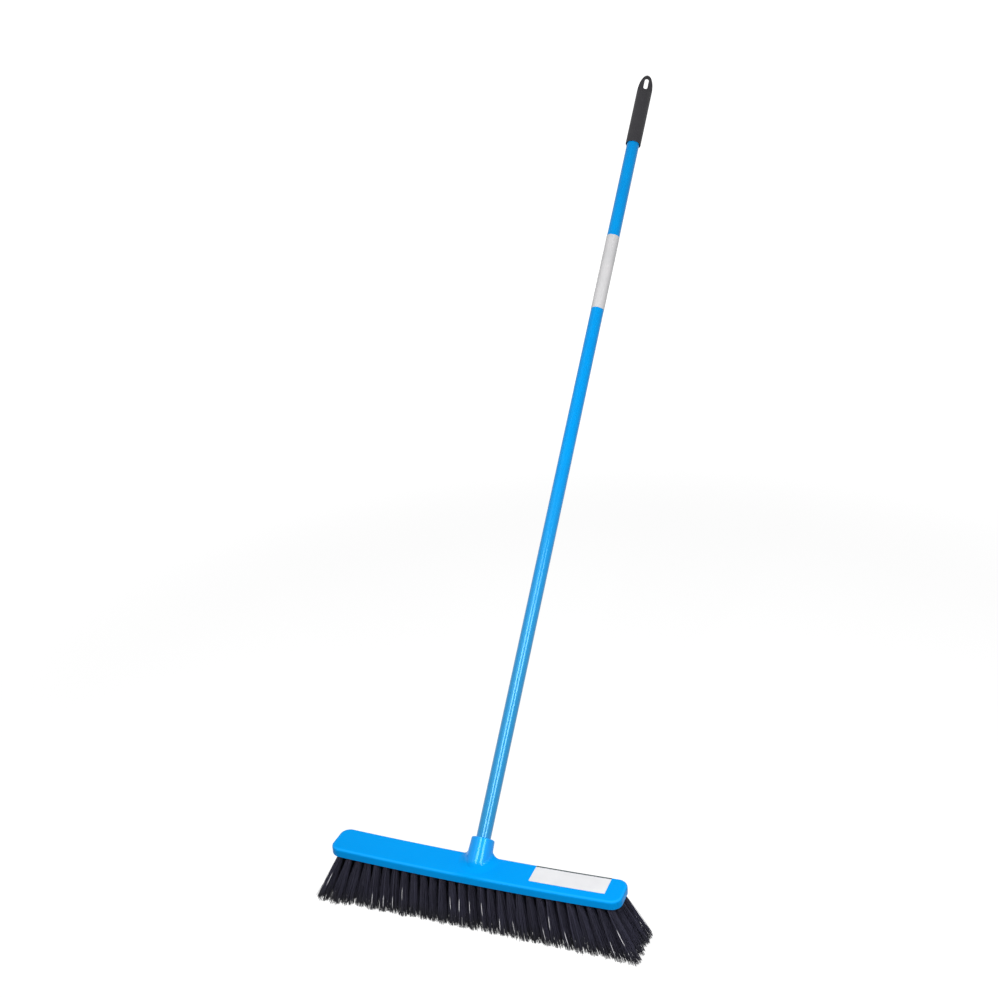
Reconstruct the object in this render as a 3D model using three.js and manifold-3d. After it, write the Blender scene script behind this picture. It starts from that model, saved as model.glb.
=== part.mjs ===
// A push broom: an arched moulded block with an inclined socket, four rows of splayed bristle
// tufts, a tubular handle, a hanging cap and the screw that keeps the handle in its socket.
// Millimetres, +Z up. X runs along the head and +Y is the side that the handle leans to.
// The origin is on the floor under the middle of the head.

import * as THREE from 'three';
import { mergeVertices } from 'three/addons/utils/BufferGeometryUtils.js';
import Module from 'manifold-3d';

const wasm = await Module();
wasm.setup();

// Block
const blockLength = 486;
const blockDepth = 58;
const blockThickness = 15.6;
const blockCornerRadius = 17; // of the plan's corners
const blockTopRound = 5;
const blockFootRound = 1.2;
const blockRise = 4.6; // the arch: how far the ends stand above the middle

// Bristles
const bristleDrop = 82.5; // under the middle of the block
const bristleLength = 96; // of a whole strand, before the floor trims it
const rowCount = 4;
const rowMargin = 6.95; // from an outer row's middle to the block's side
const tuftPitch = 16;
const endMargin = 10; // from the last tuft to the block's outline
const fanSpread = 20; // how far the tips of the end tufts lean outwards
const endFlick = 27; // what the last few tufts lean on top of that
const endFlickPower = 5;
const tuftRadius = 2.6; // from a tuft's middle to its four strands, at the root
const strandRadius = 1.5;
const strandRoot = 1.5; // how deep a strand goes into its backing
const backingDepth = 3;
const backingMargin = 0.7; // of backing beside a tuft

// Socket
const handleTilt = THREE.MathUtils.degToRad(45); // from the upright
const handleOffset = 14.7; // from the block's middle to where the axis meets its top
const socketReach = 33.5; // from the block's top to the mouth, along the axis
const socketMouthRadius = 18.6;
const socketFootRadius = 20.2;
const socketMouthRound = 2;
const sideFlare = 14; // radius of the fillet that joins the boss's sides to the block
const frontFlare = 23; // and of the one in front of it, where the two meet at a wide angle
const socketInset = 0.4; // from the block's faces to where the boss and its flare are cut off
const socketFloor = 2; // of block under the boss's lowest point
const boreDepth = 37.5;
const footSink = 0.3; // the flare lies this far inside the boss where they run together

// Handle
const tubeRadius = 11.75;
const tubeWall = 1;
const tubeLength = 1452.4;

// Cap
const capRadius = 14.3;
const capLength = 158;
const capTipRound = 38; // length of the round nose
const capRimRound = 0.8;
const capPlug = 4; // of solid cap between the bore and the scoop
const capMouthDepth = 3; // how far in the bore's mouth stands clear of the tube
const capMouthGap = 1.2;
const eyeWidth = 7.6;
const eyeLength = 27;
const eyeTipWall = 4.8; // of cap between the eye and the tip
const eyeLip = 1.6; // width of the raised lip round the eye
const eyeLipHeight = 0.5;
const tongueThickness = 5.6;
const tongueOffset = 1; // how far the tongue lies behind the cap's axis
const scoopLength = 46; // from the tip to where the front scoop starts
const backScoopLength = 44;
const scoopEase = 0.75; // how far out the scoop's curve swings before it leaves the side
const eyeTurn = THREE.MathUtils.degToRad(20); // of the cap on the handle

// Screw
const screwHeadRadius = 4;
const screwHeadHeight = 2.6;
const screwRimHeight = 1;
const screwCrownRadius = 2.9;
const screwCrownHeight = 2.3;
const screwShankRadius = 1.9;
const screwLength = 11.5; // under the head
const screwReach = 25; // from the block's top to the screw, along the axis
const screwTip = 2.5;
const screwSlotWidth = 1.1;
const screwSlotDepth = 1.1;

// Clearances
const tubeFit = 0.3;
const capFit = 0.3;
const backingFit = 0.3;
const screwFit = 0.3;

// Facets
const archSteps = 26;
const cornerSteps = 6;
const roundSteps = 4;
const roundFacets = 48;
const footSlices = 7;
const screwFacets = 28;
const tipSteps = 10;
const strandSides = 3;
const flatEnd = 0.01; // what is left straight between two round corners

const halfLength = blockLength / 2;
const halfDepth = blockDepth / 2;
const backingWidth = 2 * (tuftRadius + strandRadius + backingMargin);
const blockTop = bristleDrop + blockThickness;
const rowSpacing = (blockDepth - 2 * rowMargin) / (rowCount - 1);
const quarter = Math.PI / 2;
const tubeLow = socketReach - boreDepth + tubeFit;
const tubeHigh = tubeLow + tubeLength;
const capTip = tubeHigh + capFit + capPlug + scoopLength;
const handleOrigin = new THREE.Vector3(0, handleOffset, blockTop);
const handleTurn = new THREE.Euler(-handleTilt, 0, 0);

const blue = new THREE.MeshStandardMaterial({ color: 0x069bee, roughness: 0.35, metalness: 0 });
const coated = new THREE.MeshStandardMaterial({ color: 0x1b93dd, roughness: 0.3, metalness: 0 });
const charcoal = new THREE.MeshStandardMaterial({ color: 0x3e3f44, roughness: 0.5, metalness: 0 });
const bristle = new THREE.MeshStandardMaterial({ color: 0x22232b, roughness: 0.6, metalness: 0 });
const steel = new THREE.MeshStandardMaterial({ color: 0xb4b8bc, roughness: 0.3, metalness: 1 });

function toSolid(geometry) {
  const bare = geometry.clone();
  bare.deleteAttribute('normal');
  bare.deleteAttribute('uv');
  const merged = mergeVertices(bare, 1e-5);
  return new wasm.Manifold(new wasm.Mesh({
    numProp: 3,
    vertProperties: new Float32Array(merged.attributes.position.array),
    triVerts: new Uint32Array(merged.index.array),
  }));
}

function toGeometry(solid) {
  const mesh = solid.getMesh();
  const geometry = new THREE.BufferGeometry();
  geometry.setAttribute('position', new THREE.BufferAttribute(mesh.vertProperties, 3));
  geometry.setIndex(new THREE.BufferAttribute(mesh.triVerts, 1));
  return geometry;
}

// Joins loops of equal length, lowest first, each counter-clockwise from above, into a closed
// skin. Each end is closed by a strip between the loop's two halves.
function loft(loops) {
  const count = loops[0].length;
  const last = (loops.length - 1) * count;
  const triangles = [];
  for (let level = 0; level < loops.length - 1; level += 1) {
    for (let i = 0; i < count; i += 1) {
      const a = level * count + i;
      const b = level * count + ((i + 1) % count);
      triangles.push(a, b, b + count, a, b + count, a + count);
    }
  }
  for (let i = 0; i < count / 2 - 1; i += 1) {
    const near = [i, i + 1];
    const far = [count - 1 - i, count - 2 - i];
    triangles.push(near[0], far[0], far[1], near[0], far[1], near[1]);
    triangles.push(last + near[0], last + far[1], last + far[0]);
    triangles.push(last + near[0], last + near[1], last + far[1]);
  }
  const geometry = new THREE.BufferGeometry().setFromPoints(loops.flat());
  geometry.setIndex(triangles);
  return geometry;
}

function lift(x) {
  return blockRise * (x / halfLength) ** 2;
}

// The front half of a rounded rectangle, from its left end to its right, and the back half.
function roundedOutline(halfX, halfY, radius) {
  const front = [];
  for (let i = 0; i <= cornerSteps; i += 1) {
    const angle = (quarter * i) / cornerSteps;
    front.push([-halfX + radius * (1 - Math.cos(angle)), -halfY + radius * (1 - Math.sin(angle))]);
  }
  const straight = halfX - radius;
  for (let i = 1; i < archSteps; i += 1) {
    front.push([straight * ((2 * i) / archSteps - 1), -halfY]);
  }
  for (let i = cornerSteps; i >= 0; i -= 1) {
    const angle = (quarter * i) / cornerSteps;
    front.push([halfX - radius * (1 - Math.cos(angle)), -halfY + radius * (1 - Math.sin(angle))]);
  }
  const back = front.map(([x, y]) => [x, -y]).reverse();
  return [...front, ...back];
}

function archedLoop(outline, y, z) {
  return outline.map(([px, py]) => new THREE.Vector3(px, py + y, z + lift(px)));
}

// One edge round of the block: how far the outline draws in at each height.
function edgeRound(radius, from, to) {
  const levels = [];
  for (let i = 0; i <= roundSteps; i += 1) {
    const angle = (quarter * i) / roundSteps;
    levels.push([radius * (1 - Math.cos(angle)), from + (to - from) * Math.sin(angle)]);
  }
  return levels;
}

function blockShell() {
  const foot = edgeRound(blockFootRound, bristleDrop + blockFootRound, bristleDrop).reverse();
  const top = edgeRound(blockTopRound, blockTop - blockTopRound, blockTop);
  const loops = [...foot, ...top].map(([inset, z]) => archedLoop(
    roundedOutline(halfLength - inset, halfDepth - inset, blockCornerRadius - inset), 0, z,
  ));
  return toSolid(loft(loops));
}

// A bar along the head that follows the arch, from below the underside into it.
function archedBar(reach, width, y, zLow, zHigh) {
  const outline = roundedOutline(reach, width / 2, width / 2 - flatEnd);
  return toSolid(loft([archedLoop(outline, y, zLow), archedLoop(outline, y, zHigh)]));
}

function onHandle(geometry) {
  const placed = geometry.clone();
  placed.applyMatrix4(new THREE.Matrix4().makeRotationFromEuler(handleTurn));
  placed.translate(handleOrigin.x, handleOrigin.y, handleOrigin.z);
  return placed;
}

// A turned piece whose profile is given as radius and height along the handle's axis.
function turned(profile) {
  const points = profile.map(([radius, height]) => new THREE.Vector2(radius, height));
  return new THREE.LatheGeometry(points, roundFacets).rotateX(quarter);
}

// A quarter round in a turned piece's profile, from its side to its end face.
function profileRound(radius, round, height, direction) {
  const points = [];
  for (let i = 0; i <= roundSteps; i += 1) {
    const angle = (quarter * i) / roundSteps;
    const drawnIn = radius - round * (1 - Math.cos(angle));
    points.push([drawnIn, height - direction * round * (1 - Math.sin(angle))]);
  }
  return points;
}

// The boss's radius at a distance from the block's top, along the handle's axis.
function socketRadius(along) {
  return socketFootRadius + ((socketMouthRadius - socketFootRadius) * along) / socketReach;
}

function socketBoss() {
  const drop = (socketFootRadius + blockThickness) * 2;
  const boss = toSolid(onHandle(turned([
    [0, -drop],
    [socketRadius(-drop), -drop],
    ...profileRound(socketMouthRadius, socketMouthRound, socketReach, 1),
    [0, socketReach],
  ])));
  return boss
    .trimByPlane([0, 0, 1], bristleDrop + socketFloor)
    .trimByPlane([0, 1, 0], socketInset - halfDepth);
}

// The flare that joins the boss to the block, as slices of a leaning ellipse. It spreads to the
// sides and the front, follows the round of the block's back edge and is cut off flat behind it.
function socketFoot() {
  const loops = [];
  for (let level = -footSlices; level <= footSlices; level += 1) {
    const share = level / footSlices;
    const height = share > 0 ? share ** 2 * sideFlare : share * (blockThickness - socketFloor);
    const draw = height > 0 ? footSink * share : footSink;
    const radius = socketRadius(Math.max(height, 0) / Math.cos(handleTilt)) - draw;
    const toBack = radius / Math.cos(handleTilt);
    const fade = Math.cos(quarter * Math.min(share, 0));
    const side = radius + flareAt(height, sideFlare, 0) * fade;
    const toFront = toBack + flareAt(height, frontFlare, handleTilt) * fade;
    const middle = handleOffset + height * Math.tan(handleTilt);
    const loop = [];
    for (let k = 0; k < roundFacets; k += 1) {
      const angle = Math.PI + (2 * Math.PI * (k + 0.5)) / roundFacets;
      const reach = Math.sin(angle) < 0 ? toFront : toBack;
      const y = middle + reach * Math.sin(angle);
      const z = blockTop + height - backDrop(y) * (1 + Math.min(share, 0));
      loop.push(new THREE.Vector3(side * Math.cos(angle), y, z));
    }
    loops.push(loop);
  }
  return toSolid(loft(loops)).trimByPlane([0, -1, 0], socketInset - halfDepth);
}

// How far a concave fillet stands out from a wall, at a height above the floor that it springs
// from. The wall leans away from the fillet by the given angle.
function flareAt(height, radius, lean) {
  const up = Math.min(Math.max(height, 0), radius * (1 - Math.sin(lean)));
  const foot = radius * Math.tan((quarter - lean) / 2);
  return foot + up * Math.tan(lean) - Math.sqrt(radius ** 2 - (radius - up) ** 2);
}

// How far the block's top has dropped at a depth, where its back edge rounds.
function backDrop(y) {
  const over = Math.min(Math.max(y - halfDepth + blockTopRound, 0), blockTopRound);
  return blockTopRound - Math.sqrt(blockTopRound ** 2 - over ** 2);
}

function screwHole() {
  const seat = socketMouthRadius - screwHeadHeight;
  const hole = screwBar(screwShankRadius + screwFit, 0);
  const well = screwBar(screwHeadRadius + screwFit, seat - screwFit);
  return toSolid(onHandle(hole)).add(toSolid(onHandle(well)));
}

// A round bar on the screw's axis, from a distance off the handle's axis out through the boss.
function screwBar(radius, from) {
  const length = 2 * socketFootRadius;
  const bar = new THREE.CylinderGeometry(radius, radius, length, screwFacets);
  return onScrew(bar.translate(0, from + length / 2, 0));
}

// The screw's own axis, +Y, points back and down from the handle's axis.
function onScrew(geometry) {
  return geometry.clone().translate(0, 0, screwReach);
}

function headBlock(rows) {
  const bore = toSolid(onHandle(turned([
    [0, socketReach - boreDepth],
    [tubeRadius + tubeFit, socketReach - boreDepth],
    [tubeRadius + tubeFit, socketReach + 1],
    [0, socketReach + 1],
  ])));
  let block = blockShell().add(socketBoss()).add(socketFoot());
  block = block.subtract(bore).subtract(screwHole());
  for (const row of rows) {
    const groove = archedBar(
      row.reach + backingFit, backingWidth + 2 * backingFit, row.y,
      bristleDrop - backingDepth, bristleDrop + backingDepth + backingFit,
    );
    block = block.subtract(groove);
  }
  return toGeometry(block);
}

// How far along the head a row at this depth may go before it meets the corner's outline.
function rowLimit(y) {
  const cornerY = halfDepth - blockCornerRadius;
  const beyond = Math.max(Math.abs(y) - cornerY, 0);
  const corner = Math.sqrt(Math.max(blockCornerRadius ** 2 - beyond ** 2, 0));
  return halfLength - blockCornerRadius + corner - endMargin;
}

// The tufts stand in a square grid, with one in the middle of each row. Every other row opens
// less across the head, which keeps its tips clear of its neighbours'.
function bristleRow(index) {
  const y = rowSpacing * (index - (rowCount - 1) / 2);
  const tufts = [0];
  for (let x = tuftPitch; x <= rowLimit(y); x += tuftPitch) {
    tufts.push(x);
    tufts.unshift(-x);
  }
  const reach = tufts[tufts.length - 1] + backingWidth / 2;
  const spread = rowSpacing / (index % 2 === 0 ? 2 : 4);
  return { y, tufts, reach, spread };
}

function fan(x) {
  const share = Math.abs(x) / (halfLength - endMargin);
  return Math.sign(x) * (fanSpread * share + endFlick * share ** endFlickPower);
}

function strand(root, tip) {
  const loops = [];
  for (const middle of [root, tip]) {
    const loop = [];
    for (let i = 0; i < strandSides; i += 1) {
      const angle = (2 * Math.PI * i) / strandSides - quarter;
      loop.push(new THREE.Vector3(
        middle.x + strandRadius * Math.cos(angle), middle.y + strandRadius * Math.sin(angle), middle.z,
      ));
    }
    loops.push(loop);
  }
  return loops;
}

// A straight prism from the tip's loop up to the root's.
function prism([upper, lower]) {
  const sides = upper.length;
  const triangles = [];
  for (let i = 0; i < sides; i += 1) {
    const next = (i + 1) % sides;
    triangles.push(i, next, next + sides, i, next + sides, i + sides);
  }
  for (let i = 1; i < sides - 1; i += 1) {
    triangles.push(0, i + 1, i);
    triangles.push(sides, sides + i, sides + i + 1);
  }
  const geometry = new THREE.BufferGeometry().setFromPoints([...lower, ...upper]);
  geometry.setIndex(triangles);
  return geometry;
}

// Four strands a tuft stand in a diamond, which opens towards the tips.
function rowStrands(row) {
  const spots = [[1, 0], [-1, 0], [0, 1], [0, -1]];
  const strands = [];
  for (const x of row.tufts) {
    for (const [sideX, sideY] of spots) {
      const rootX = x + sideX * tuftRadius;
      const rootY = row.y + sideY * tuftRadius;
      const tipX = x + fan(x) + (sideX * tuftPitch) / 4;
      const tipY = row.y + sideY * row.spread;
      const rootZ = bristleDrop + lift(rootX);
      const lean = (tipX - rootX) ** 2 + (tipY - rootY) ** 2;
      const tipZ = Math.max(rootZ - Math.sqrt(bristleLength ** 2 - lean), 0);
      const root = new THREE.Vector3(rootX, rootY, rootZ + strandRoot);
      strands.push(prism(strand(root, new THREE.Vector3(tipX, tipY, tipZ))));
    }
  }
  return strands;
}

function bristleGeometry(row) {
  let solid = archedBar(row.reach, backingWidth, row.y, bristleDrop, bristleDrop + backingDepth);
  const strands = rowStrands(row).map(toSolid);
  solid = wasm.Manifold.union([solid, ...strands]);
  return toGeometry(solid);
}

function handleTube() {
  const tube = turned([
    [tubeRadius - tubeWall, tubeLow],
    [tubeRadius, tubeLow],
    [tubeRadius, tubeHigh],
    [tubeRadius - tubeWall, tubeHigh],
    [tubeRadius - tubeWall, tubeLow],
  ]);
  const hole = screwBar(screwShankRadius + screwFit, 0);
  return toGeometry(toSolid(onHandle(tube)).subtract(toSolid(onHandle(hole))));
}

// A wedge that takes the cap down to its tongue, right across it. Its outline is drawn with the
// handle's axis as Y and the tongue's face at X.
function scoop(length, face) {
  const away = 4 * capRadius;
  const tongueEnd = eyeTipWall + eyeLength + eyeLip;
  const blend = (length - tongueEnd) / 2;
  const shape = new THREE.Shape();
  shape.moveTo(face, 1);
  shape.lineTo(face, -tongueEnd);
  shape.bezierCurveTo(
    face, -tongueEnd - blend, capRadius * scoopEase, -length + blend / 2, capRadius, -length,
  );
  shape.lineTo(away, -length);
  shape.lineTo(away, 1);
  shape.closePath();
  const cutter = new THREE.ExtrudeGeometry(shape, { depth: away, bevelEnabled: false, curveSegments: 8 });
  return cutter.translate(0, 0, -away / 2).rotateY(quarter).rotateX(quarter);
}

function eyeSlot(grow, depth) {
  const radius = eyeWidth / 2 + grow;
  const straight = (eyeLength - eyeWidth) / 2;
  const shape = new THREE.Shape();
  shape.absarc(0, straight, radius, 0, 2 * quarter, false);
  shape.absarc(0, -straight, radius, 2 * quarter, 4 * quarter, false);
  shape.closePath();
  return new THREE.ExtrudeGeometry(shape, { depth, bevelEnabled: false, curveSegments: 10 });
}

function hangCap() {
  const tip = [];
  for (let i = 0; i < tipSteps; i += 1) {
    const angle = (quarter * i) / tipSteps;
    tip.push([capRadius * Math.cos(angle), capTipRound * (Math.sin(angle) - 1)]);
  }
  const rim = profileRound(capRadius, capRimRound, -capLength, -1).reverse();
  let cap = toSolid(turned([[0, -capLength], ...rim, ...tip, [0, 0]]));
  const bore = turned([
    [0, -capLength - 1],
    [tubeRadius + capFit + capMouthGap, -capLength - 1],
    [tubeRadius + capFit + capMouthGap, -capLength + capMouthDepth],
    [tubeRadius + capFit, -capLength + capMouthDepth + capMouthGap],
    [tubeRadius + capFit, -scoopLength - capPlug],
    [0, -scoopLength - capPlug],
  ]);
  cap = cap.subtract(toSolid(bore));
  const front = tongueThickness / 2 - tongueOffset;
  const back = tongueThickness / 2 + tongueOffset;
  cap = cap.subtract(toSolid(scoop(scoopLength, front).rotateZ(2 * quarter)));
  cap = cap.subtract(toSolid(scoop(backScoopLength, back)));
  return { cap, front, back };
}

function finishedCap() {
  const { cap, front, back } = hangCap();
  const middle = -eyeTipWall - eyeLength / 2;
  const lipFront = -front - eyeLipHeight;
  const lipBack = back + eyeLipHeight;
  const lip = eyeSlot(eyeLip, lipBack - lipFront).rotateX(quarter).translate(0, lipBack, middle);
  const hole = eyeSlot(0, capRadius * 4).rotateX(quarter).translate(0, capRadius * 2, middle);
  const geometry = toGeometry(cap.add(toSolid(lip)).subtract(toSolid(hole)));
  geometry.rotateZ(eyeTurn).translate(0, 0, capTip);
  return onHandle(geometry);
}

function screwGeometry() {
  const seat = socketMouthRadius - screwHeadHeight;
  const points = [
    [0, -screwLength],
    [screwShankRadius, -screwLength + screwTip],
    [screwShankRadius, 0],
    [screwHeadRadius, 0],
    [screwHeadRadius, screwRimHeight],
    [screwCrownRadius, screwCrownHeight],
    [0, screwHeadHeight],
  ];
  const profile = points.map(([radius, height]) => new THREE.Vector2(radius, height));
  const body = new THREE.LatheGeometry(profile, screwFacets);
  const slot = new THREE.BoxGeometry(screwHeadRadius * 3, screwSlotDepth * 2, screwSlotWidth);
  slot.translate(0, screwHeadHeight, 0);
  const screw = toGeometry(toSolid(body).subtract(toSolid(slot)));
  screw.translate(0, seat, 0);
  return onHandle(onScrew(screw));
}

const group = new THREE.Group();

function addMesh(name, geometry, material) {
  const mesh = new THREE.Mesh(geometry, material.clone());
  mesh.name = name;
  geometry.computeVertexNormals();
  group.add(mesh);
}

const rowNames = ['bristle_row_front', 'bristle_row_mid_front', 'bristle_row_mid_back', 'bristle_row_back'];
const rows = rowNames.map((name, index) => bristleRow(index));

addMesh('head_block', headBlock(rows), blue);
rows.forEach((row, index) => addMesh(rowNames[index], bristleGeometry(row), bristle));
addMesh('handle_tube', handleTube(), coated);
addMesh('hang_cap', finishedCap(), charcoal);
addMesh('handle_screw', screwGeometry(), steel);

export default group;
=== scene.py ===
import bmesh
import bpy
import math
import random
from mathutils import Matrix, Vector


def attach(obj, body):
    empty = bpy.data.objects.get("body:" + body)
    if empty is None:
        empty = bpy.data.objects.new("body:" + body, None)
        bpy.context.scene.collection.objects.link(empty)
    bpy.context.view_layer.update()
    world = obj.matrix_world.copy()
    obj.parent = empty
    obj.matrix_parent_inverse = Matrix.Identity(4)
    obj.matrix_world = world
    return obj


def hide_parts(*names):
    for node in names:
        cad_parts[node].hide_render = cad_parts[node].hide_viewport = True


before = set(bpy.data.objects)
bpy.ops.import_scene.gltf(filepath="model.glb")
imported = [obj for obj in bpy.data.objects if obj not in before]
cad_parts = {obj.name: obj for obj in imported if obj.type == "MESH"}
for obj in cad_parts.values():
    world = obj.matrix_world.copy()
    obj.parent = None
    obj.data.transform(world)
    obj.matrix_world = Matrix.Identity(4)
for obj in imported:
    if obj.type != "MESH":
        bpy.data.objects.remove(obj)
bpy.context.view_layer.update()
print("frame loaded:", len(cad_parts), "nodes")


# Tools for meshes

samePoint = 1e-6  # points closer than this are one


def addObject(name, data):
    added = bpy.data.objects.new(name, data)
    bpy.context.scene.collection.objects.link(added)
    return added


def newPiece(bm, name):
    mesh = bpy.data.meshes.new(name)
    bm.to_mesh(mesh)
    bm.free()
    return addObject(name, mesh)


def bakedMesh(source):
    graph = bpy.context.evaluated_depsgraph_get()
    return bpy.data.meshes.new_from_object(source.evaluated_get(graph))


def carve(piece, tool, operation="DIFFERENCE"):
    cut = piece.modifiers.new("Cut", "BOOLEAN")
    cut.operation = operation
    cut.solver = "EXACT"
    cut.object = tool
    baked = bakedMesh(piece)
    piece.modifiers.clear()
    piece.data = baked
    bpy.data.objects.remove(tool)


def nodeCopy(node, name):
    bm = bmesh.new()
    bm.from_mesh(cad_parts[node].data)
    bmesh.ops.remove_doubles(bm, verts=bm.verts, dist=samePoint)
    return newPiece(bm, name)


def softenEdges(piece, creaseDegrees, width=0):
    piece.data.shade_smooth()
    piece.data.set_sharp_from_angle(angle=math.radians(creaseDegrees))
    if width:
        bevel = piece.modifiers.new("Edge round", "BEVEL")
        bevel.width = width
        bevel.segments = 2
        bevel.limit_method = "ANGLE"
        bevel.angle_limit = math.radians(creaseDegrees)
        bevel.harden_normals = True
    weighted = piece.modifiers.new("Even shading", "WEIGHTED_NORMAL")
    weighted.keep_sharp = True


def turn(bm, profile, steps):
    line = [bm.verts.new((radius, 0, height)) for radius, height in profile]
    edges = [bm.edges.new(pair) for pair in zip(line, line[1:])]
    bmesh.ops.spin(bm, geom=line + edges, axis=(0, 0, 1), angle=2 * math.pi, steps=steps, use_merge=True)
    bmesh.ops.remove_doubles(bm, verts=bm.verts, dist=samePoint)
    bmesh.ops.recalc_face_normals(bm, faces=bm.faces)


def roundOff(bm, parts, width, steps, affect="EDGES"):
    bmesh.ops.bevel(bm, geom=parts, offset=width, segments=steps, profile=0.5, affect=affect, material=-1)


def bisect(bm, place, normal, **options):
    everything = bm.verts[:] + bm.edges[:] + bm.faces[:]
    return bmesh.ops.bisect_plane(bm, geom=everything, plane_co=place, plane_no=normal, **options)


def sliceAt(bm, place, normal):
    bisect(bm, place, normal, dist=samePoint / 10)


def cutOff(bm, place, normal):
    cut = bisect(bm, place, normal, clear_outer=True)["geom_cut"]
    bmesh.ops.edgeloop_fill(bm, edges=[e for e in cut if isinstance(e, bmesh.types.BMEdge)])
    bmesh.ops.recalc_face_normals(bm, faces=bm.faces)


# Camera

view = {
    "lens": 51.4774, "sensor": 36, "clipEnd": 200,
    "place": (0.784038, -1.667633, 1.474361), "turn": (1.17775694, 0.0633573, 0.37190331),
}

cameraData = bpy.data.cameras.new("Camera")
cameraData.lens = view["lens"]
cameraData.sensor_width = view["sensor"]
cameraData.clip_end = view["clipEnd"]
camera = addObject("Camera", cameraData)
camera.location = view["place"]
camera.rotation_euler = view["turn"]
bpy.context.scene.camera = camera


# Tools for materials

noiseMiddle = 0.5  # the middle of a noise texture's range


def setInputs(tree, node, values):
    for key, value in values.items():
        if isinstance(value, bpy.types.NodeSocket):
            tree.links.new(value, node.inputs[key])
        else:
            node.inputs[key].default_value = value


def addNode(tree, kind, values=None, **settings):
    node = tree.nodes.new("ShaderNode" + kind)
    for name, value in settings.items():
        setattr(node, name, value)
    setInputs(tree, node, values or {})
    return node


def doMath(tree, operation, *values):
    return addNode(tree, "Math", dict(enumerate(values)), operation=operation).outputs[0]


def vectorMath(tree, operation, *values, output="Vector"):
    return addNode(tree, "VectorMath", dict(enumerate(values)), operation=operation).outputs[output]


def mapRange(tree, value, fromMin, fromMax, toMin=0, toMax=1, kind="LINEAR"):
    ends = {"From Min": fromMin, "From Max": fromMax, "To Min": toMin, "To Max": toMax}
    return addNode(tree, "MapRange", {"Value": value, **ends}, interpolation_type=kind).outputs["Result"]


def mixColors(tree, share, first, second):
    values = {"Factor": share, "A": first, "B": second}
    return addNode(tree, "Mix", values, data_type="RGBA").outputs["Result"]


def noise(tree, place, rate, detail):
    return addNode(tree, "TexNoise", {"Vector": place, "Scale": rate, "Detail": detail}).outputs["Fac"]


def objectPlace(tree):
    return addNode(tree, "TexCoord").outputs["Object"]


def partOf(tree, vector, axisName):
    return addNode(tree, "SeparateXYZ", {0: vector}).outputs[axisName]


def newMaterial(name):
    material = bpy.data.materials.new(name)
    material.use_nodes = True
    return material, material.node_tree, material.node_tree.nodes["Principled BSDF"]


def newGroup(name, inputs, outputs):
    group = bpy.data.node_groups.new(name, "ShaderNodeTree")
    for way, sockets in (("INPUT", inputs), ("OUTPUT", outputs)):
        for socketName, kind in sockets.items():
            group.interface.new_socket(name=socketName, in_out=way, socket_type="NodeSocket" + kind)
    return group, group.nodes.new("NodeGroupInput").outputs, group.nodes.new("NodeGroupOutput")


# Materials for the moulded, coated and printed pieces

# Two tones in soft patches, with an uneven gloss and a fine grain
def surfaceBreakup():
    inputs = {
        "Color": "Color", "Second color": "Color", "Patches per metre": "Float",
        "Grain per metre": "Float", "Roughness": "Float", "Roughness spread": "Float",
    }
    outputs = {"Color": "Color", "Roughness": "Float", "Height": "Float"}
    group, given, results = newGroup("Surface breakup", inputs, outputs)
    place = objectPlace(group)
    patches = noise(group, place, given["Patches per metre"], 4)
    share = mapRange(group, patches, 0.35, 0.68)  # clearer patches than the bare noise gives
    centred = doMath(group, "SUBTRACT", patches, noiseMiddle)
    spread = doMath(group, "MULTIPLY_ADD", centred, given["Roughness spread"], given["Roughness"])
    setInputs(group, results, {
        "Color": mixColors(group, share, given["Color"], given["Second color"]),
        "Roughness": spread,
        "Height": noise(group, place, given["Grain per metre"], 2),
    })
    return group


# A polish that changes along the handle's axis and ends at a distance from it
def polishAlongHandle(foot, axis):
    names = ("Lower end", "Upper end", "Lower polish", "Upper polish", "Full within", "None beyond")
    outputs = {"Polish": "Float", "Off axis": "Float"}
    group, given, results = newGroup("Polish along handle", dict.fromkeys(names, "Float"), outputs)
    fromFoot = vectorMath(group, "SUBTRACT", objectPlace(group), foot)
    along = vectorMath(group, "DOT_PRODUCT", fromFoot, axis, output="Value")
    across = vectorMath(group, "CROSS_PRODUCT", fromFoot, axis)
    offAxis = vectorMath(group, "LENGTH", across, output="Value")
    ramp = mapRange(group, along, *(given[name] for name in names[:4]), "SMOOTHSTEP")
    near = mapRange(group, offAxis, given["Full within"], given["None beyond"], 1, 0, "SMOOTHSTEP")
    setInputs(group, results, {"Polish": doMath(group, "MULTIPLY", near, ramp), "Off axis": offAxis})
    return group


def coverWith(tree, shader, color, share):
    under = shader.inputs["Base Color"].links[0].from_socket
    setInputs(tree, shader, {"Base Color": mixColors(tree, share, under, (*color, 1))})


# Painted highlight: paler where the block's top rounds over into its sides, away from the socket
def paintedEdgeHighlight(tree, shader, look, offAxis):
    facing = partOf(tree, addNode(tree, "TexCoord").outputs["Normal"], "Z")
    notSide = mapRange(tree, facing, *look["edgeFrom"])
    notTop = mapRange(tree, facing, *look["edgeTo"])
    rounded = doMath(tree, "MULTIPLY", notSide, notTop)
    share = doMath(tree, "MULTIPLY", rounded, mapRange(tree, offAxis, *look["edgeOffAxis"]))
    coverWith(tree, shader, look["edgeHighlightColor"], share)


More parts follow.
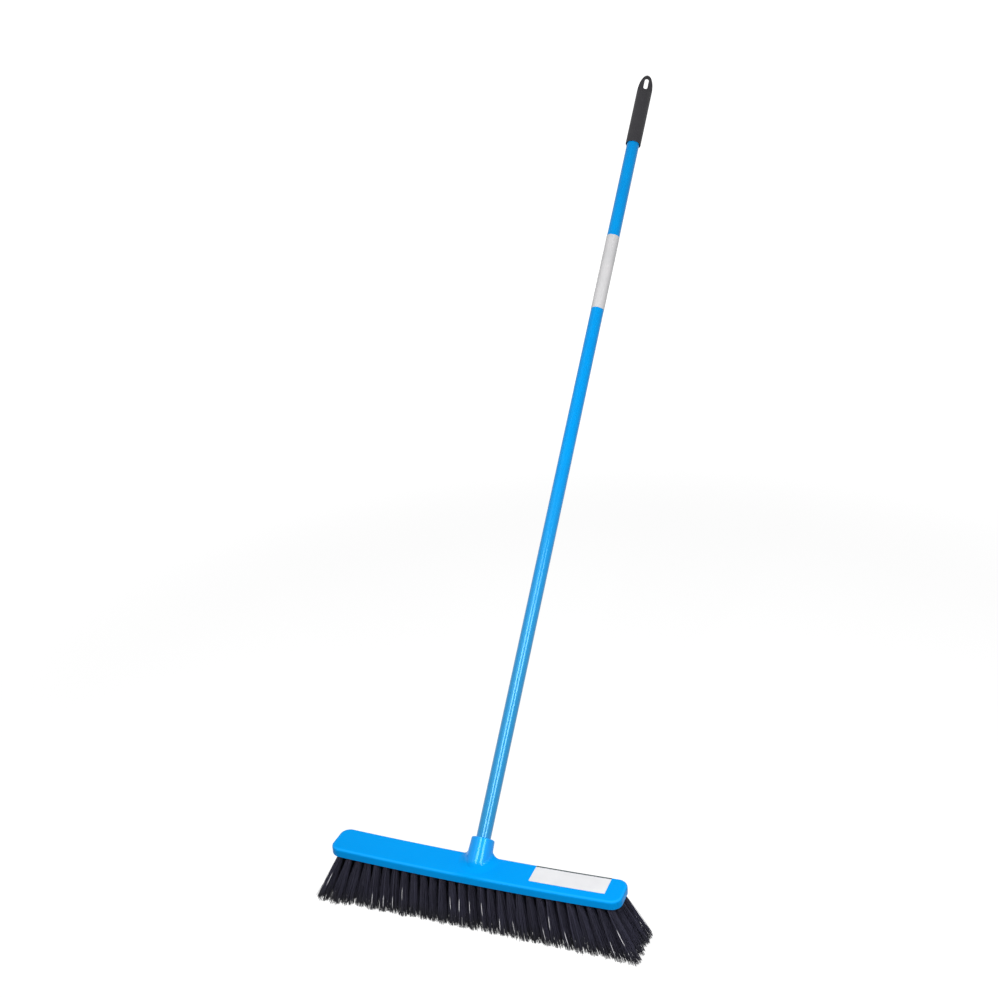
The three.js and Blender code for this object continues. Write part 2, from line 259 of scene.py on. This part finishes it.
def finishMaterial(name, look):
    material, tree, shader = newMaterial(name)
    cover = addNode(tree, "Group", {
        "Color": (*look["color"], 1), "Second color": (*look["second"], 1),
        "Patches per metre": look["patches"], "Grain per metre": look["grain"],
        "Roughness": look["roughness"], "Roughness spread": look["spread"],
    }, node_tree=breakup).outputs
    relief = {"Strength": look["bump"], "Distance": look["bumpDepth"], "Height": cover["Height"]}
    setInputs(tree, shader, {
        "Base Color": cover["Color"], "Roughness": cover["Roughness"],
        "Normal": addNode(tree, "Bump", relief).outputs["Normal"],
        "Specular IOR Level": look["specular"], "Specular Tint": (*look.get("tint", (1, 1, 1)), 1),
        "Metallic": look.get("metallic", 0),
    })
    if "polish" in look:
        shine = addNode(tree, "Group", look["polish"], node_tree=polish).outputs
        setInputs(tree, shader, {
            "Coat Weight": shine["Polish"], "Coat Roughness": look["coatRoughness"],
            "Metallic": doMath(tree, "MULTIPLY", shine["Polish"], look["pearl"]),
        })
    # Painted highlight along the block's rounded top edges
    if "edgeHighlightColor" in look:
        paintedEdgeHighlight(tree, shader, look, shine["Off axis"])
    # Painted shade: the tube's colour darkens towards its lower end, following the polish ramp
    if "lowShadeColor" in look:
        low = mapRange(tree, shine["Polish"], 0, look["polish"]["Lower polish"])
        coverWith(tree, shader, look["lowShadeColor"], low)
    return material


# Head block

block = {
    "length": 0.486, "depth": 0.058, "thickness": 0.0156, "underside": 0.0825, "rise": 0.0046,
    "corner": 0.017, "cornerSteps": 14, "topRound": 0.005, "topSteps": 7, "footRound": 0.0012, "footSteps": 3,
    "slices": 54, "crease": 32,
    "color": (0.0004, 0.305, 0.80), "second": (0.0004, 0.285, 0.765), "patches": 9, "grain": 1500,
    "roughness": 0.32, "spread": 0.12, "bump": 0.12, "bumpDepth": 0.0001,
    "specular": 0.03, "tint": (0.08, 1, 1), "pearl": 0.42, "coatRoughness": 0.1,
    "polish": {
        "Lower end": -0.011, "Upper end": -0.004, "Lower polish": 0, "Upper polish": 0.36,
        "Full within": 0.0203, "None beyond": 0.0228,
    },
    # the painted highlight's colour, and where it lies on the rounded top edges
    "edgeHighlightColor": (0.009, 0.345, 0.90), "edgeFrom": (0.3, 0.65), "edgeTo": (0.99, 0.84),
    "edgeOffAxis": (0.027, 0.042),
}
socket = {
    "offset": 0.0147, "tilt": 45, "reach": 0.0335, "drop": 0.07, "mouthRadius": 0.0186, "footRadius": 0.0202,
    "mouthRound": 0.002, "mouthSteps": 6, "sideFlare": 0.014, "frontFlare": 0.023, "draw": 0.0002,
    "inset": 0.0004, "floor": 0.002, "boreRadius": 0.01205, "boreDepth": 0.0375, "boreTop": 0.04,
    "sides": 96, "levels": 16,
}
blockTop = block["underside"] + block["thickness"]
tilt = math.radians(socket["tilt"])
handleFoot = Vector((0, socket["offset"], blockTop))
handleAxis = Vector((0, math.sin(tilt), math.cos(tilt)))
onHandle = Matrix.Translation(handleFoot) @ Matrix.Rotation(-tilt, 4, "X")

breakup = surfaceBreakup()
polish = polishAlongHandle(handleFoot, handleAxis)


# The block is arched: its ends stand higher than its middle.
def lift(x):
    return block["rise"] * (x / (block["length"] / 2)) ** 2


# How far the rounded back edge has dropped below the top at y
def backDrop(y):
    over = min(max(y - block["depth"] / 2 + block["topRound"], 0), block["topRound"])
    return block["topRound"] - math.sqrt(block["topRound"] ** 2 - over ** 2)


def blockShell():
    bm = bmesh.new()
    size = Matrix.Diagonal((block["length"], block["depth"], block["thickness"], 1))
    middle = Matrix.Translation((0, 0, (block["underside"] + blockTop) / 2))
    bmesh.ops.create_cube(bm, size=1, matrix=middle @ size)
    upright = [e for e in bm.edges if abs(e.verts[0].co.z - e.verts[1].co.z) > block["thickness"] / 2]
    roundOff(bm, upright, block["corner"], block["cornerSteps"])
    for height, width, steps in (
        (blockTop, block["topRound"], block["topSteps"]),
        (block["underside"], block["footRound"], block["footSteps"]),
    ):
        rim = [e for e in bm.edges if all(abs(v.co.z - height) < samePoint for v in e.verts)]
        roundOff(bm, rim, width, steps)
    straight = block["length"] / 2 - block["corner"]
    for i in range(block["slices"] + 1):
        sliceAt(bm, (straight * (2 * i / block["slices"] - 1), 0, 0), (1, 0, 0))
    for vert in bm.verts:
        vert.co.z += lift(vert.co.x)
    bmesh.ops.recalc_face_normals(bm, faces=bm.faces)
    return newPiece(bm, "head_moulding")


def socketRadius(along):
    return socket["footRadius"] + (socket["mouthRadius"] - socket["footRadius"]) * along / socket["reach"]


def socketBoss():
    bm = bmesh.new()
    profile = [(0, -socket["drop"]), (socketRadius(-socket["drop"]), -socket["drop"])]
    for i in range(socket["mouthSteps"] + 1):
        angle = math.pi / 2 * i / socket["mouthSteps"]
        radius = socket["mouthRadius"] - socket["mouthRound"] * (1 - math.cos(angle))
        profile.append((radius, socket["reach"] - socket["mouthRound"] * (1 - math.sin(angle))))
    turn(bm, profile + [(0, socket["reach"])], socket["sides"])
    bm.transform(onHandle)
    cutOff(bm, (0, 0, block["underside"] + socket["floor"]), (0, 0, -1))
    cutOff(bm, (0, socket["inset"] - block["depth"] / 2, 0), (0, -1, 0))
    return newPiece(bm, "boss")


def socketBore():
    bm = bmesh.new()
    low, high, radius = socket["reach"] - socket["boreDepth"], socket["boreTop"], socket["boreRadius"]
    turn(bm, [(0, low), (radius, low), (radius, high), (0, high)], socket["sides"])
    bm.transform(onHandle)
    return newPiece(bm, "bore")


# How far a fillet still stands out from a leaning wall at a height above its foot
def flareAt(height, radius, lean):
    up = min(max(height, 0), radius * (1 - math.sin(lean)))
    foot = radius * math.tan((math.pi / 2 - lean) / 2)
    return foot + up * math.tan(lean) - math.sqrt(radius ** 2 - (radius - up) ** 2)


# A closed stack of rings, where shape places each point by its angle and level
def stackRings(sides, levels, shape):
    bm = bmesh.new()
    bmesh.ops.create_circle(bm, cap_ends=False, segments=sides, radius=1)
    loop = bm.edges[:]
    bmesh.ops.edgeloop_fill(bm, edges=loop)
    for level in range(levels):
        grown = bmesh.ops.extrude_edge_only(bm, edges=loop)["geom"]
        bmesh.ops.translate(bm, vec=(0, 0, 1), verts=[v for v in grown if isinstance(v, bmesh.types.BMVert)])
        edges = [e for e in grown if isinstance(e, bmesh.types.BMEdge)]
        loop = [e for e in edges if all(v.co.z > level + 0.5 for v in e.verts)]
    bmesh.ops.edgeloop_fill(bm, edges=loop)
    for vert in bm.verts:
        vert.co = shape(math.atan2(vert.co.y, vert.co.x), round(vert.co.z))
    bmesh.ops.recalc_face_normals(bm, faces=bm.faces)
    return bm


def socketFoot():
    down = block["thickness"] - socket["floor"]

    def ring(angle, level):
        share = level / socket["levels"] - 1  # below 0 inside the block, above 0 in the fillet
        height = share ** 2 * socket["sideFlare"] if share > 0 else share * down
        radius = socketRadius(max(height, 0) / math.cos(tilt)) - socket["draw"] * (share if height > 0 else 1)
        fade = math.cos(math.pi / 2 * min(share, 0))
        across = radius + flareAt(height, socket["sideFlare"], 0) * fade
        back = radius / math.cos(tilt)
        front = back + flareAt(height, socket["frontFlare"], tilt) * fade
        reach = front if math.sin(angle) < 0 else back
        y = socket["offset"] + height + reach * math.sin(angle)
        return Vector((across * math.cos(angle), y, blockTop + height - backDrop(y) * (1 + min(share, 0))))

    bm = stackRings(socket["sides"], 2 * socket["levels"], ring)
    cutOff(bm, (0, block["depth"] / 2 - socket["inset"], 0), (0, 1, 0))
    return newPiece(bm, "foot")


# Bristles

tuft = {
    "pitch": 0.016, "rowMargin": 0.00695, "endMargin": 0.010, "rows": 4, "length": 0.096,
    "spread": 0.020, "flick": 0.027, "flickPower": 5, "seat": 0.0048, "seatSides": 14, "seatDepth": 0.012,
    "splay": 0.0048, "cornerSplay": 0.0035, "cornerLean": 0.0035, "cornerPower": 4,
    "seed": 41, "sway": 0.0010, "sideways": 0.0025,
    "filaments": 160, "rings": 5, "thickness": 0.00027, "bow": 0.0009,
    "rootRadius": 0.0045, "rootSink": 0.0025, "tipReach": 0.0092, "tipScatter": 0.0006,
    "mostStretch": 1.35, "endStretch": 1.08, "stray": 0.05, "strayReach": 0.004,
    "ragged": 0.0055, "wispRagged": 0.75, "ownRagged": 0.6, "floorGap": 0.0003, "tipLift": 0.25,
    "wisps": 8, "wispOut": (0.6, 0.95), "wispPull": (0.05, 0.4),
    "tone": 0.5, "wispTone": 0.12, "toneSpread": 0.16,
}
sliver = {  # a coarser filament in front of most tufts, with a painted glint: one ring of it is coloured pale
    "share": 0.72, "thickest": 2.5, "thinnest": 0.55, "rootSpread": 0.5, "rootAhead": 0.95,
    "tipSpread": 0.6, "tipAhead": 1.15, "tipHeight": 0.004, "bow": -0.0036, "glintRings": (2, 3, 3),
}
bristleLook = {
    "dark": (0.015, 0.0145, 0.025), "light": (0.062, 0.061, 0.098), "streaks": 240, "streakShare": 0.5,
    "tip": (0.023, 0.024, 0.022), "tipFrom": 0.03, "tipShare": 0.75,
    # glintColor is a painted glint on one ring of the slivers
    "glintColor": (0.75, 0.74, 0.78), "glintFrom": (0.4, 0.7), "roughness": 0.5, "specular": 0.16,
}
rowGap = (block["depth"] - 2 * tuft["rowMargin"]) / (tuft["rows"] - 1)
goldenTurn = 2.39996  # radians between filaments, which spreads them evenly over a disc


# The farthest place for a tuft in a row, which the block's round corners limit
def rowLimit(y):
    beyond = max(abs(y) - (block["depth"] / 2 - block["corner"]), 0)
    corner = math.sqrt(max(block["corner"] ** 2 - beyond ** 2, 0))
    return block["length"] / 2 - block["corner"] + corner - tuft["endMargin"]


def towardsEnd(x):
    return abs(x) / (block["length"] / 2 - tuft["endMargin"])


# How far a tip stands farther out than its root
def fan(x):
    share = towardsEnd(x)
    return math.copysign(tuft["spread"] * share + tuft["flick"] * share ** tuft["flickPower"], x)


def rowTufts(index):
    y = rowGap * (index - (tuft["rows"] - 1) / 2)
    outermost = int(rowLimit(y) / tuft["pitch"])
    tufts = []
    for i in range(-outermost, outermost + 1):
        x = i * tuft["pitch"]
        root = Vector((x, y, block["underside"] + lift(x)))
        atCorner = towardsEnd(x) ** tuft["cornerPower"]
        splay = (tuft["splay"] + tuft["cornerSplay"] * atCorner) * y / (rowGap * (tuft["rows"] - 1) / 2)
        tufts.append((root, Vector((root.x + fan(root.x), y + splay - tuft["cornerLean"] * atCorner, 0))))
    return tufts


def tuftSeats(tufts):
    bm = bmesh.new()
    for root, tip in tufts:
        tilted = (root - tip).normalized().to_track_quat("Z", "Y").to_matrix().to_4x4()
        bmesh.ops.create_cone(
            bm, cap_ends=True, segments=tuft["seatSides"], radius1=tuft["seat"], radius2=tuft["seat"],
            depth=tuft["seatDepth"], matrix=Matrix.Translation(root) @ tilted)
    return newPiece(bm, "seats")


def addFilament(curve, start, end, bend, coarse=1):
    spline = curve.splines.new("POLY")
    spline.points.add(tuft["rings"] - 1)
    for k, point in enumerate(spline.points):
        t = k / (tuft["rings"] - 1)
        bow = math.sin(math.pi * t)
        x = start[0] + (end[0] - start[0]) * t + bend[0] * bow
        y = start[1] + (end[1] - start[1]) * t + bend[1] * bow
        point.co = (x, y, start[2] + (end[2] - start[2]) * t, 1)
        point.radius = coarse


def wispTips(turnBy, rng):
    wisps = []
    for k in range(tuft["wisps"]):
        angle = turnBy + 2 * math.pi * k / (tuft["wisps"] - 1)
        out = tuft["tipReach"] * rng.uniform(*tuft["wispOut"]) if k else 0  # the first stands in the middle
        shorter = rng.uniform(0, tuft["ragged"])
        wisps.append((out * math.cos(angle), out * math.sin(angle), shorter, rng.gauss(0, tuft["wispTone"])))
    return wisps


# Filaments start evenly over the root and gather into wisps at the tip. Returns their tones.
def growTuft(curve, root, tip, inward, outward, turnBy, rng):
    wisps = wispTips(turnBy, rng)
    tones = []
    for i in range(tuft["filaments"]):
        spot = math.sqrt((i + 0.5) / tuft["filaments"])
        angle = i * goldenTurn + turnBy
        unitX, unitY = spot * math.cos(angle), spot * math.sin(angle)
        ownX, ownY = tuft["tipReach"] * unitX, tuft["tipReach"] * unitY
        wispX, wispY, wispShort, wispTone = min(wisps, key=lambda w: (w[0] - ownX) ** 2 + (w[1] - ownY) ** 2)
        pull = rng.uniform(*tuft["wispPull"])
        tipX = ownX + (wispX - ownX) * pull + rng.gauss(0, tuft["tipScatter"])
        tipY = ownY + (wispY - ownY) * pull + rng.gauss(0, tuft["tipScatter"])
        if rng.random() < tuft["stray"]:
            tipX += rng.uniform(-tuft["strayReach"], tuft["strayReach"])
            tipY += rng.uniform(-tuft["strayReach"], tuft["strayReach"])
        shorter = wispShort * tuft["wispRagged"] + rng.random() ** 2 * tuft["ragged"] * tuft["ownRagged"]
        x0, y0 = root.x + tuft["rootRadius"] * unitX, root.y + tuft["rootRadius"] * unitY
        x1, y1 = tip.x + tipX * (outward if tipX * root.x > 0 else inward), tip.y + tipY
        lean = (x1 - x0) ** 2 + (y1 - y0) ** 2
        hanging = root.z - math.sqrt((tuft["length"] - shorter) ** 2 - lean)
        z1 = max(hanging, tuft["floorGap"] + tuft["tipLift"] * shorter)
        bend = (rng.gauss(0, tuft["bow"]), rng.gauss(0, tuft["bow"]))
        addFilament(curve, (x0, y0, root.z + tuft["rootSink"]), (x1, y1, z1), bend)
        tones.append(tuft["tone"] + wispTone + rng.gauss(0, tuft["toneSpread"]))
    return tones


def addSliver(curve, root, tip, rng):
    x0 = root.x + tuft["rootRadius"] * rng.uniform(-sliver["rootSpread"], sliver["rootSpread"])
    x1 = tip.x + tuft["tipReach"] * rng.uniform(-sliver["tipSpread"], sliver["tipSpread"])
    start = (x0, root.y - tuft["rootRadius"] * sliver["rootAhead"], root.z + tuft["rootSink"])
    end = (x1, tip.y - tuft["tipReach"] * sliver["tipAhead"], sliver["tipHeight"])
    coarse = sliver["thickest"] * rng.uniform(sliver["thinnest"], 1)
    addFilament(curve, start, end, (0, sliver["bow"]), coarse)
    return rng.choice(sliver["glintRings"])


def addAttribute(mesh, name, values):
    mesh.attributes.new(name, "FLOAT", "POINT").data.foreach_set("value", values)


def growRow(index, name, rng):
    curve = bpy.data.curves.new(name, "CURVE")
    curve.dimensions = "3D"
    curve.bevel_depth = tuft["thickness"]
    curve.bevel_resolution = 0
    curve.use_fill_caps = True
    tones = []
    glints = []
    tufts = rowTufts(index)
    for root, tip in tufts:
        turnBy = rng.uniform(0, 2 * math.pi)
        tip = tip + Vector((rng.gauss(tuft["sideways"], tuft["sway"]), rng.gauss(0, tuft["sway"]), 0))
        halfPitch = tuft["pitch"] / 2
        spread = 1 + (fan(root.x + halfPitch) - fan(root.x - halfPitch)) / tuft["pitch"]
        inward = min(spread, tuft["mostStretch"])
        outward = min(spread, tuft["endStretch"]) if root in (tufts[0][0], tufts[-1][0]) else inward
        grown = growTuft(curve, root, tip, inward, outward, turnBy, rng)
        tones += grown
        glints += [-1] * len(grown)  # no ring of these filaments glints
        if rng.random() < sliver["share"]:
            glints.append(addSliver(curve, root, tip, rng))
            tones.append(tuft["tone"])
    holder = addObject(name + "_curve", curve)
    mesh = bakedMesh(holder)
    bpy.data.objects.remove(holder)
    print(name, len(tones), "filaments,", len(mesh.vertices), "vertices")
    # The mesh holds the end caps of all filaments first, then the walls, both in the filaments' order.
    sides = 4  # of a curve's bevel at resolution 0
    capPoints, wallPoints = 2 * sides, tuft["rings"] * sides
    everyTone = [tone for points in (capPoints, wallPoints) for tone in tones for _ in range(points)]
    wallGlints = [float(k // sides == ring) for ring in glints for k in range(wallPoints)]
    addAttribute(mesh, "tone", everyTone)
    addAttribute(mesh, "glint", [0.0] * (capPoints * len(glints)) + wallGlints)
    mesh.shade_smooth()
    return addObject(name, mesh)


def bristleMaterial():
    look = bristleLook
    material, tree, shader = newMaterial("Bristle filament")
    place = objectPlace(tree)
    tone = addNode(tree, "Attribute", attribute_name="tone").outputs["Fac"]
    glint = addNode(tree, "Attribute", attribute_name="glint").outputs["Fac"]
    streak = doMath(tree, "SUBTRACT", noise(tree, place, look["streaks"], 3), noiseMiddle)
    share = doMath(tree, "MULTIPLY_ADD", streak, look["streakShare"], tone)
    body = mixColors(tree, share, (*look["dark"], 1), (*look["light"], 1))
    nearTip = mapRange(tree, partOf(tree, place, "Z"), look["tipFrom"], 0, 0, look["tipShare"])
    worn = mixColors(tree, nearTip, body, (*look["tip"], 1))
    # Painted glint: the glinting ring of a sliver takes the pale colour
    color = mixColors(tree, mapRange(tree, glint, *look["glintFrom"]), worn, (*look["glintColor"], 1))
    finish = {"Base Color": color, "Roughness": look["roughness"], "Specular IOR Level": look["specular"]}
    setInputs(tree, shader, finish)
    return material


rowNames = ["bristle_row_front", "bristle_row_mid_front", "bristle_row_mid_back", "bristle_row_back"]
rng = random.Random(tuft["seed"])
filament = bristleMaterial()
allTufts = []
for index, node in enumerate(rowNames):
    row = growRow(index, node.replace("bristle_row", "bristles"), rng)
    row.data.materials.append(filament)
    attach(row, "root")
    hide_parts(node)
    allTufts += rowTufts(index)
print("bristles grown")

head = blockShell()
carve(head, socketBoss(), "UNION")
carve(head, socketFoot(), "UNION")
carve(head, socketBore())
carve(head, tuftSeats(allTufts))
head.data.materials.append(finishMaterial("Blue moulding", block))
softenEdges(head, block["crease"])
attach(head, "root")
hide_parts("head_block")
print("head block moulded")


# Handle

tube = {
    "color": (0.001, 0.285, 0.73), "second": (0.0015, 0.257, 0.685), "patches": 14, "grain": 180,
    "roughness": 0.2, "spread": 0.1, "bump": 0.02, "bumpDepth": 0.0001, "specular": 0.2, "tint": (0.15, 1, 1),
    "polish": {
        "Lower end": 0.25, "Upper end": 0.75, "Lower polish": 0.52, "Upper polish": 0,
        "Full within": 0.05, "None beyond": 0.06,
    },
    # lowShadeColor is painted shade towards the tube's lower end
    "pearl": 0.165, "coatRoughness": 0.14, "lowShadeColor": (0.010, 0.235, 0.52), "crease": 40,
}
cap = {
    "color": (0.036, 0.035, 0.039), "second": (0.031, 0.030, 0.034), "patches": 60, "grain": 2600,
    "roughness": 0.55, "spread": 0.2, "bump": 0.08, "bumpDepth": 0.0001, "specular": 0.2, "crease": 34,
}
screw = {
    "color": (0.55, 0.56, 0.57), "second": (0.42, 0.43, 0.45), "patches": 300, "grain": 2500,
    "roughness": 0.28, "spread": 0.25, "bump": 0.1, "bumpDepth": 0.00005, "specular": 0.5, "metallic": 1,
    "crease": 30, "edgeRound": 0.00015,
}

for node, name, look, finish, slotName in (
    ("handle_tube", "handle_tube_coated", tube, "Handle coating", "tube_coating"),
    ("hang_cap", "hang_cap_moulded", cap, "Charcoal plastic", "cap"),
    ("handle_screw", "handle_screw_plated", screw, "Plated steel", "screw"),
):
    piece = nodeCopy(node, name)
    piece.data.materials.append(finishMaterial(finish, look))
    softenEdges(piece, look["crease"], look.get("edgeRound", 0))
    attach(piece, "root")
    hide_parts(node)
print("handle finished")


# Blank labels

film = {
    "thickness": 0.00016, "crease": 40, "patches": 25, "grain": 3000,
    "roughness": 0.45, "spread": 0.1, "bump": 0.03, "bumpDepth": 0.00005, "specular": 0.1,
}
label = {
    **film, "color": (0.71, 0.71, 0.725), "second": (0.655, 0.655, 0.672),
    "fromX": 0.0931, "toX": 0.2151, "fromY": -0.0128, "toY": 0.0273, "corner": 0.0015, "cornerSteps": 4,
    "gap": 0.00008, "slices": 24, "bendSlices": 6,
    "line": 0.0046, "lineSoft": 0.0002, "lineColor": (0.07, 0.09, 0.10),
}
wrap = {
    **film, "color": (0.60, 0.59, 0.60), "second": (0.545, 0.545, 0.555),
    "from": 0.9861, "to": 1.1380, "tubeRadius": 0.01175, "gap": 0.00003, "sides": 72,
}


def labelFilm():
    material = finishMaterial("Bare label film", label)
    tree = material.node_tree
    lineFrom = label["toY"] - label["line"]
    share = mapRange(tree, partOf(tree, objectPlace(tree), "Y"), lineFrom, lineFrom + label["lineSoft"])
    coverWith(tree, tree.nodes["Principled BSDF"], label["lineColor"], share)
    return material


def blockLabel():
    bm = bmesh.new()
    size = (label["toX"] - label["fromX"], label["toY"] - label["fromY"], 1, 1)
    middle = Matrix.Translation(((label["fromX"] + label["toX"]) / 2, (label["fromY"] + label["toY"]) / 2, 0))
    bmesh.ops.create_grid(bm, x_segments=1, y_segments=1, size=0.5, matrix=middle @ Matrix.Diagonal(size))
    roundOff(bm, bm.verts[:], label["corner"], label["cornerSteps"], "VERTICES")
    for i in range(1, label["slices"]):
        sliceAt(bm, (label["fromX"] + size[0] * i / label["slices"], 0, 0), (1, 0, 0))
    bend = block["depth"] / 2 - block["topRound"]
    for i in range(label["bendSlices"]):
        sliceAt(bm, (0, bend + (label["toY"] - bend) * i / label["bendSlices"], 0), (0, 1, 0))
    for vert in bm.verts:
        vert.co.z = blockTop + lift(vert.co.x) - backDrop(vert.co.y) + label["thickness"] + label["gap"]
    bmesh.ops.solidify(bm, geom=bm.faces[:], thickness=label["thickness"])
    bmesh.ops.recalc_face_normals(bm, faces=bm.faces)
    return newPiece(bm, "block_label")


def wrapLabel():
    bm = bmesh.new()
    inner = wrap["tubeRadius"] + wrap["gap"]
    outer = inner + wrap["thickness"]
    low, high = wrap["from"], wrap["to"]
    turn(bm, [(inner, low), (outer, low), (outer, high), (inner, high), (inner, low)], wrap["sides"])
    bm.transform(onHandle)
    return newPiece(bm, "handle_label")


for piece, material in ((blockLabel(), labelFilm()), (wrapLabel(), finishMaterial("Bare wrap film", wrap))):
    piece.data.materials.append(material)
    softenEdges(piece, film["crease"])
    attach(piece, "root")
print("labels laid")


# Floor, world and lamps

studio = {
    "centre": (0, 0.5, 0), "floorMiddle": (0, 0.4, 0), "floorSize": 120, "floorGrid": 12,
    "floorColor": (0.8, 0.8, 0.8), "floorGlow": 1.15, "floorFill": 0.3, "worldFill": 0.3,
    "shadowShare": 0.25, "shadowWithin": 1.0, "shadowEnds": 2.4,
    "stripAim": 0.24, "stripReach": 1.6, "stripTurn": 20.5, "stripSize": (0.5, 0.9), "stripPower": 14.3,
    "topPlace": (-0.9, -0.5, 2.4), "topTarget": (0, 0.25, 0.3), "topSize": (1.6, 1.6), "topPower": 8.8,
}


# 1 for the rays that see the white background, 0 for those that light the broom
def studioRays(tree):
    path = addNode(tree, "LightPath").outputs
    seen = doMath(tree, "MAXIMUM", path["Is Camera Ray"], path["Is Glossy Ray"])
    return doMath(tree, "MAXIMUM", seen, path["Is Transmission Ray"])


def floorMaterial():
    material, tree, shader = newMaterial("Studio floor")
    tree.nodes.remove(shader)
    strength = mapRange(tree, studioRays(tree), 0, 1, studio["floorFill"], studio["floorGlow"])
    glow = addNode(tree, "Emission", {"Strength": strength}).outputs[0]
    matt = addNode(tree, "BsdfDiffuse", {"Color": (*studio["floorColor"], 1)}).outputs[0]
    away = vectorMath(tree, "DISTANCE", objectPlace(tree), studio["centre"], output="Value")
    ends = (studio["shadowEnds"], studio["shadowWithin"])
    near = mapRange(tree, away, *ends, 0, studio["shadowShare"], "SMOOTHSTEP")
    blend = addNode(tree, "MixShader", {0: near, 1: glow, 2: matt}).outputs[0]
    setInputs(tree, tree.nodes["Material Output"], {"Surface": blend})
    return material


def addLamp(name, place, target, size, power, up):
    lamp = bpy.data.lights.new(name, "AREA")
    lamp.shape = "RECTANGLE"
    lamp.size, lamp.size_y = size
    lamp.energy = power
    away = (place - target).normalized()
    side = up.cross(away).normalized()
    turned = Matrix((side, away.cross(side), away)).transposed().to_4x4()
    addObject(name, lamp).matrix_world = Matrix.Translation(place) @ turned


world = bpy.data.worlds.new("Studio")
world.use_nodes = True
bpy.context.scene.world = world
strength = mapRange(world.node_tree, studioRays(world.node_tree), 0, 1, studio["worldFill"], 1)
setInputs(world.node_tree, world.node_tree.nodes["Background"], {"Color": (1, 1, 1, 1), "Strength": strength})

bm = bmesh.new()
middle = Matrix.Translation(studio["floorMiddle"])
grid = studio["floorGrid"]
bmesh.ops.create_grid(bm, x_segments=grid, y_segments=grid, size=studio["floorSize"] / 2, matrix=middle)
floor = newPiece(bm, "floor")
floor.data.materials.append(floorMaterial())

# Two softboxes stand where the camera sees them mirrored in the socket and in the lower tube.
aim = onHandle @ Vector((0, 0, studio["stripAim"]))
toCamera = (Vector(view["place"]) - aim).normalized()
mirrored = toCamera - 2 * toCamera.dot(handleAxis) * handleAxis
for name, side in (("Softbox left", -1), ("Softbox right", 1)):
    direction = Matrix.Rotation(math.radians(side * studio["stripTurn"]), 3, handleAxis) @ mirrored
    place = aim + direction * studio["stripReach"]
    addLamp(name, place, aim, studio["stripSize"], studio["stripPower"], handleAxis)
place, target = Vector(studio["topPlace"]), Vector(studio["topTarget"])
addLamp("Top softbox", place, target, studio["topSize"], studio["topPower"], Vector((0, 1, 0)))
print("studio lit")

bpy.context.scene.view_settings.view_transform = "Standard"
